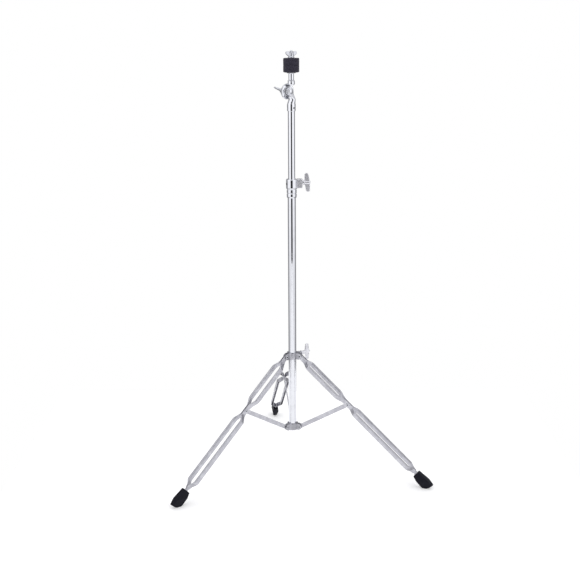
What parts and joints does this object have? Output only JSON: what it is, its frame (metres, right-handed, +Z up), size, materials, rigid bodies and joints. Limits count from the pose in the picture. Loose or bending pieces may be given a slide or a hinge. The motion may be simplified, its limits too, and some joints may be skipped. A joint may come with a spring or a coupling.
{
  "type": "cymbal stand",
  "caption": "Straight chromed cymbal stand with a folding double-braced tripod, a height clamp, a tilter and felts on a threaded cymbal rod.",
  "frame": {"origin": "on the floor, at the middle of the footprint's box", "axes": "+Z up along the column, +Y towards the single back leg, +X towards the right-hand leg's side"},
  "size_m": [0.7172, 0.6216, 1.169],
  "materials": {
    "chrome": "polished chrome plate",
    "plated_steel": "duller plate on pressed and cast parts",
    "nylon": "black nylon",
    "rubber": "black moulded rubber",
    "felt": "charcoal pressed wool felt"
  },
  "bodies": {
    "base": {"base_tube": "chrome", "base_end_plug": "nylon", "lower_hub": "plated_steel", "height_clamp": "chrome", "clamp_bushing": "nylon", "clamp_pin": "nylon", "brace_rivet_back": "chrome", "brace_rivet_left": "chrome", "brace_rivet_right": "chrome"},
    "upper_hub": {"upper_hub": "plated_steel", "leg_rivet_back": "chrome", "leg_rivet_left": "chrome", "leg_rivet_right": "chrome"},
    "leg_back": {"rail_a_back": "plated_steel", "rail_b_back": "plated_steel", "mid_rivet_a_back": "chrome", "mid_rivet_b_back": "chrome", "foot_stem_back": "plated_steel", "foot_rivet_back": "chrome", "foot_back": "rubber"},
    "brace_back": {"brace_back": "plated_steel"},
    "leg_left": {"rail_a_left": "plated_steel", "rail_b_left": "plated_steel", "mid_rivet_a_left": "chrome", "mid_rivet_b_left": "chrome", "foot_stem_left": "plated_steel", "foot_rivet_left": "chrome", "foot_left": "rubber"},
    "brace_left": {"brace_left": "plated_steel"},
    "leg_right": {"rail_a_right": "plated_steel", "rail_b_right": "plated_steel", "mid_rivet_a_right": "chrome", "mid_rivet_b_right": "chrome", "foot_stem_right": "plated_steel", "foot_rivet_right": "chrome", "foot_right": "rubber"},
    "brace_right": {"brace_right": "plated_steel"},
    "hub_wing_bolt": {"hub_wing_bolt": "chrome"},
    "clamp_wing_bolt": {"clamp_wing_bolt": "chrome"},
    "guide": {"guide_plug": "nylon"},
    "mast": {"upper_tube": "chrome", "tilter_base": "chrome", "set_screw": "nylon", "tilter_bolt": "chrome"},
    "tilter_head": {"tilter_head": "chrome", "friction_washer": "nylon", "cymbal_seat": "chrome", "cymbal_rod": "chrome", "cymbal_sleeve": "nylon", "felt_lower": "felt", "felt_upper": "felt"},
    "tilter_wing_nut": {"tilter_wing_nut": "chrome"},
    "top_wing_nut": {"top_wing_nut": "chrome"}
  },
  "joints": [
    {"name": "hub_slide", "type": "slide", "parent": "base", "child": "upper_hub", "axis": [0, 0, 1], "range_m": [0, 0.14409]},
    {"name": "leg_fold_back", "type": "hinge", "parent": "upper_hub", "child": "leg_back", "pos_m": [0, -0.07813, 0.339], "axis": [-1, 0, 0], "range_deg": [0, 45.76]},
    {"name": "brace_fold_back", "type": "hinge", "parent": "base", "child": "brace_back", "pos_m": [0, -0.07913, 0.127], "axis": [1, 0, 0], "range_deg": [0, 54.86]},
    {"name": "leg_fold_left", "type": "hinge", "parent": "upper_hub", "child": "leg_left", "pos_m": [-0.01992, -0.11263, 0.339], "axis": [0.5, -0.866, 0], "range_deg": [0, 45.76]},
    {"name": "brace_fold_left", "type": "hinge", "parent": "base", "child": "brace_left", "pos_m": [-0.01905, -0.11213, 0.127], "axis": [-0.5, 0.866, 0], "range_deg": [0, 54.86]},
    {"name": "leg_fold_right", "type": "hinge", "parent": "upper_hub", "child": "leg_right", "pos_m": [0.01992, -0.11263, 0.339], "axis": [0.5, 0.866, 0], "range_deg": [0, 45.76]},
    {"name": "brace_fold_right", "type": "hinge", "parent": "base", "child": "brace_right", "pos_m": [0.01905, -0.11213, 0.127], "axis": [-0.5, -0.866, 0], "range_deg": [0, 54.86]},
    {"name": "hub_bolt_turn", "type": "hinge", "parent": "upper_hub", "child": "hub_wing_bolt", "pos_m": [0.03464, -0.08113, 0.339], "axis": [0.866, 0.5, 0], "continuous": true},
    {"name": "clamp_bolt_turn", "type": "hinge", "parent": "base", "child": "clamp_wing_bolt", "pos_m": [0.03954, -0.10718, 0.826], "axis": [0.9885, -0.1513, 0], "continuous": true},
    {"name": "height_slide", "type": "slide", "parent": "base", "child": "guide", "axis": [0, 0, 1], "range_m": [-0.17, 0.2]},
    {"name": "mast_turn", "type": "hinge", "parent": "guide", "child": "mast", "pos_m": [0, -0.10113, 0.496], "axis": [0, 0, 1], "continuous": true},
    {"name": "tilt", "type": "hinge", "parent": "mast", "child": "tilter_head", "pos_m": [0, -0.10113, 1.064], "axis": [-0.515, 0.8572, 0], "range_deg": [-90, 90]},
    {"name": "tilter_nut_turn", "type": "hinge", "parent": "mast", "child": "tilter_wing_nut", "pos_m": [-0.01803, -0.07113, 1.064], "axis": [-0.515, 0.8572, 0], "continuous": true},
    {"name": "top_nut_turn", "type": "hinge", "parent": "tilter_head", "child": "top_wing_nut", "pos_m": [0, -0.10113, 1.156], "axis": [0, 0, 1], "continuous": true}
  ],
  "couplings": [
    {"joint": "leg_fold_back", "follows": "hub_slide", "rad_per_m": 5.5429},
    {"joint": "brace_fold_back", "follows": "hub_slide", "rad_per_m": 6.6455},
    {"joint": "leg_fold_left", "follows": "hub_slide", "rad_per_m": 5.5429},
    {"joint": "brace_fold_left", "follows": "hub_slide", "rad_per_m": 6.6455},
    {"joint": "leg_fold_right", "follows": "hub_slide", "rad_per_m": 5.5429},
    {"joint": "brace_fold_right", "follows": "hub_slide", "rad_per_m": 6.6455}
  ]
}
